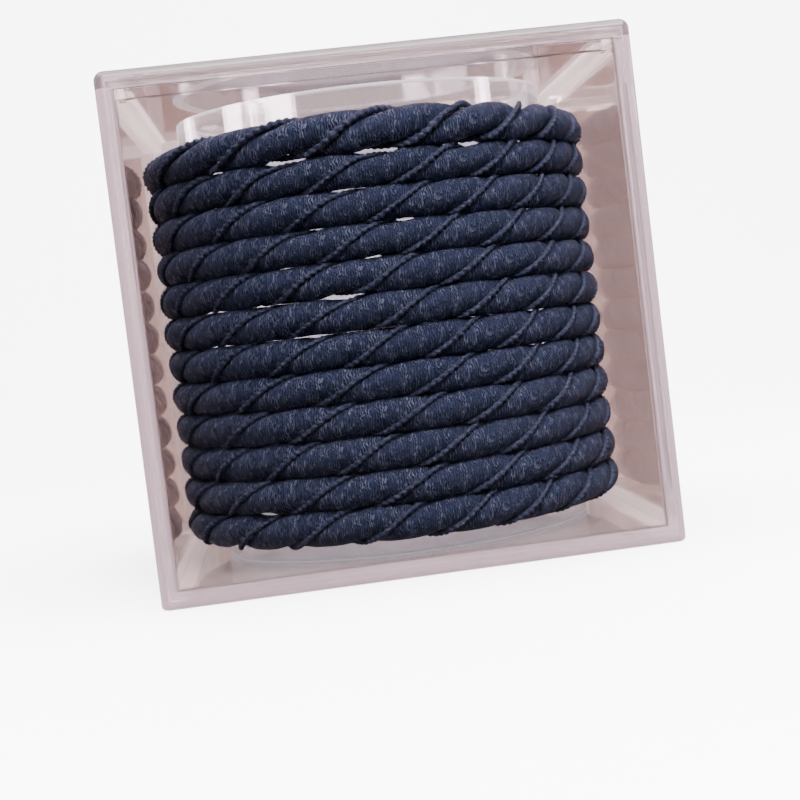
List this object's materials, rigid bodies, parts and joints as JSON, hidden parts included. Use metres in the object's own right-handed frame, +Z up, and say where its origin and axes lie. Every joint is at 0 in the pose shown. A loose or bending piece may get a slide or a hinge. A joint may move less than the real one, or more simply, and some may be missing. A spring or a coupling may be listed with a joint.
{
  "type": "spiral hair ties on a tube in a clear box",
  "caption": "Twisted rope hair ties stacked on a clear tube, kept in a clear square box with a lift-off lid.",
  "frame": {"origin": "the middle of the face that the box stands on", "axes": "+Z up along the tube and the stack, -Y the front side in the picture, +X to its right"},
  "size_m": [0.065, 0.065, 0.065],
  "materials": {
    "clear_box": "clear, polished",
    "clear_tube": "clear, polished",
    "rope_fabric": "fine ribbed satin thread over elastic, dark navy"
  },
  "bodies": {
    "root": {"box_base": "clear_box", "box_lid": "clear_box", "tube": "clear_tube", "tie_01": "rope_fabric", "tie_02": "rope_fabric", "tie_03": "rope_fabric", "tie_04": "rope_fabric", "tie_05": "rope_fabric", "tie_06": "rope_fabric", "tie_07": "rope_fabric", "tie_08": "rope_fabric", "tie_09": "rope_fabric", "tie_10": "rope_fabric", "tie_11": "rope_fabric", "tie_12": "rope_fabric"}
  },
  "joints": []
}
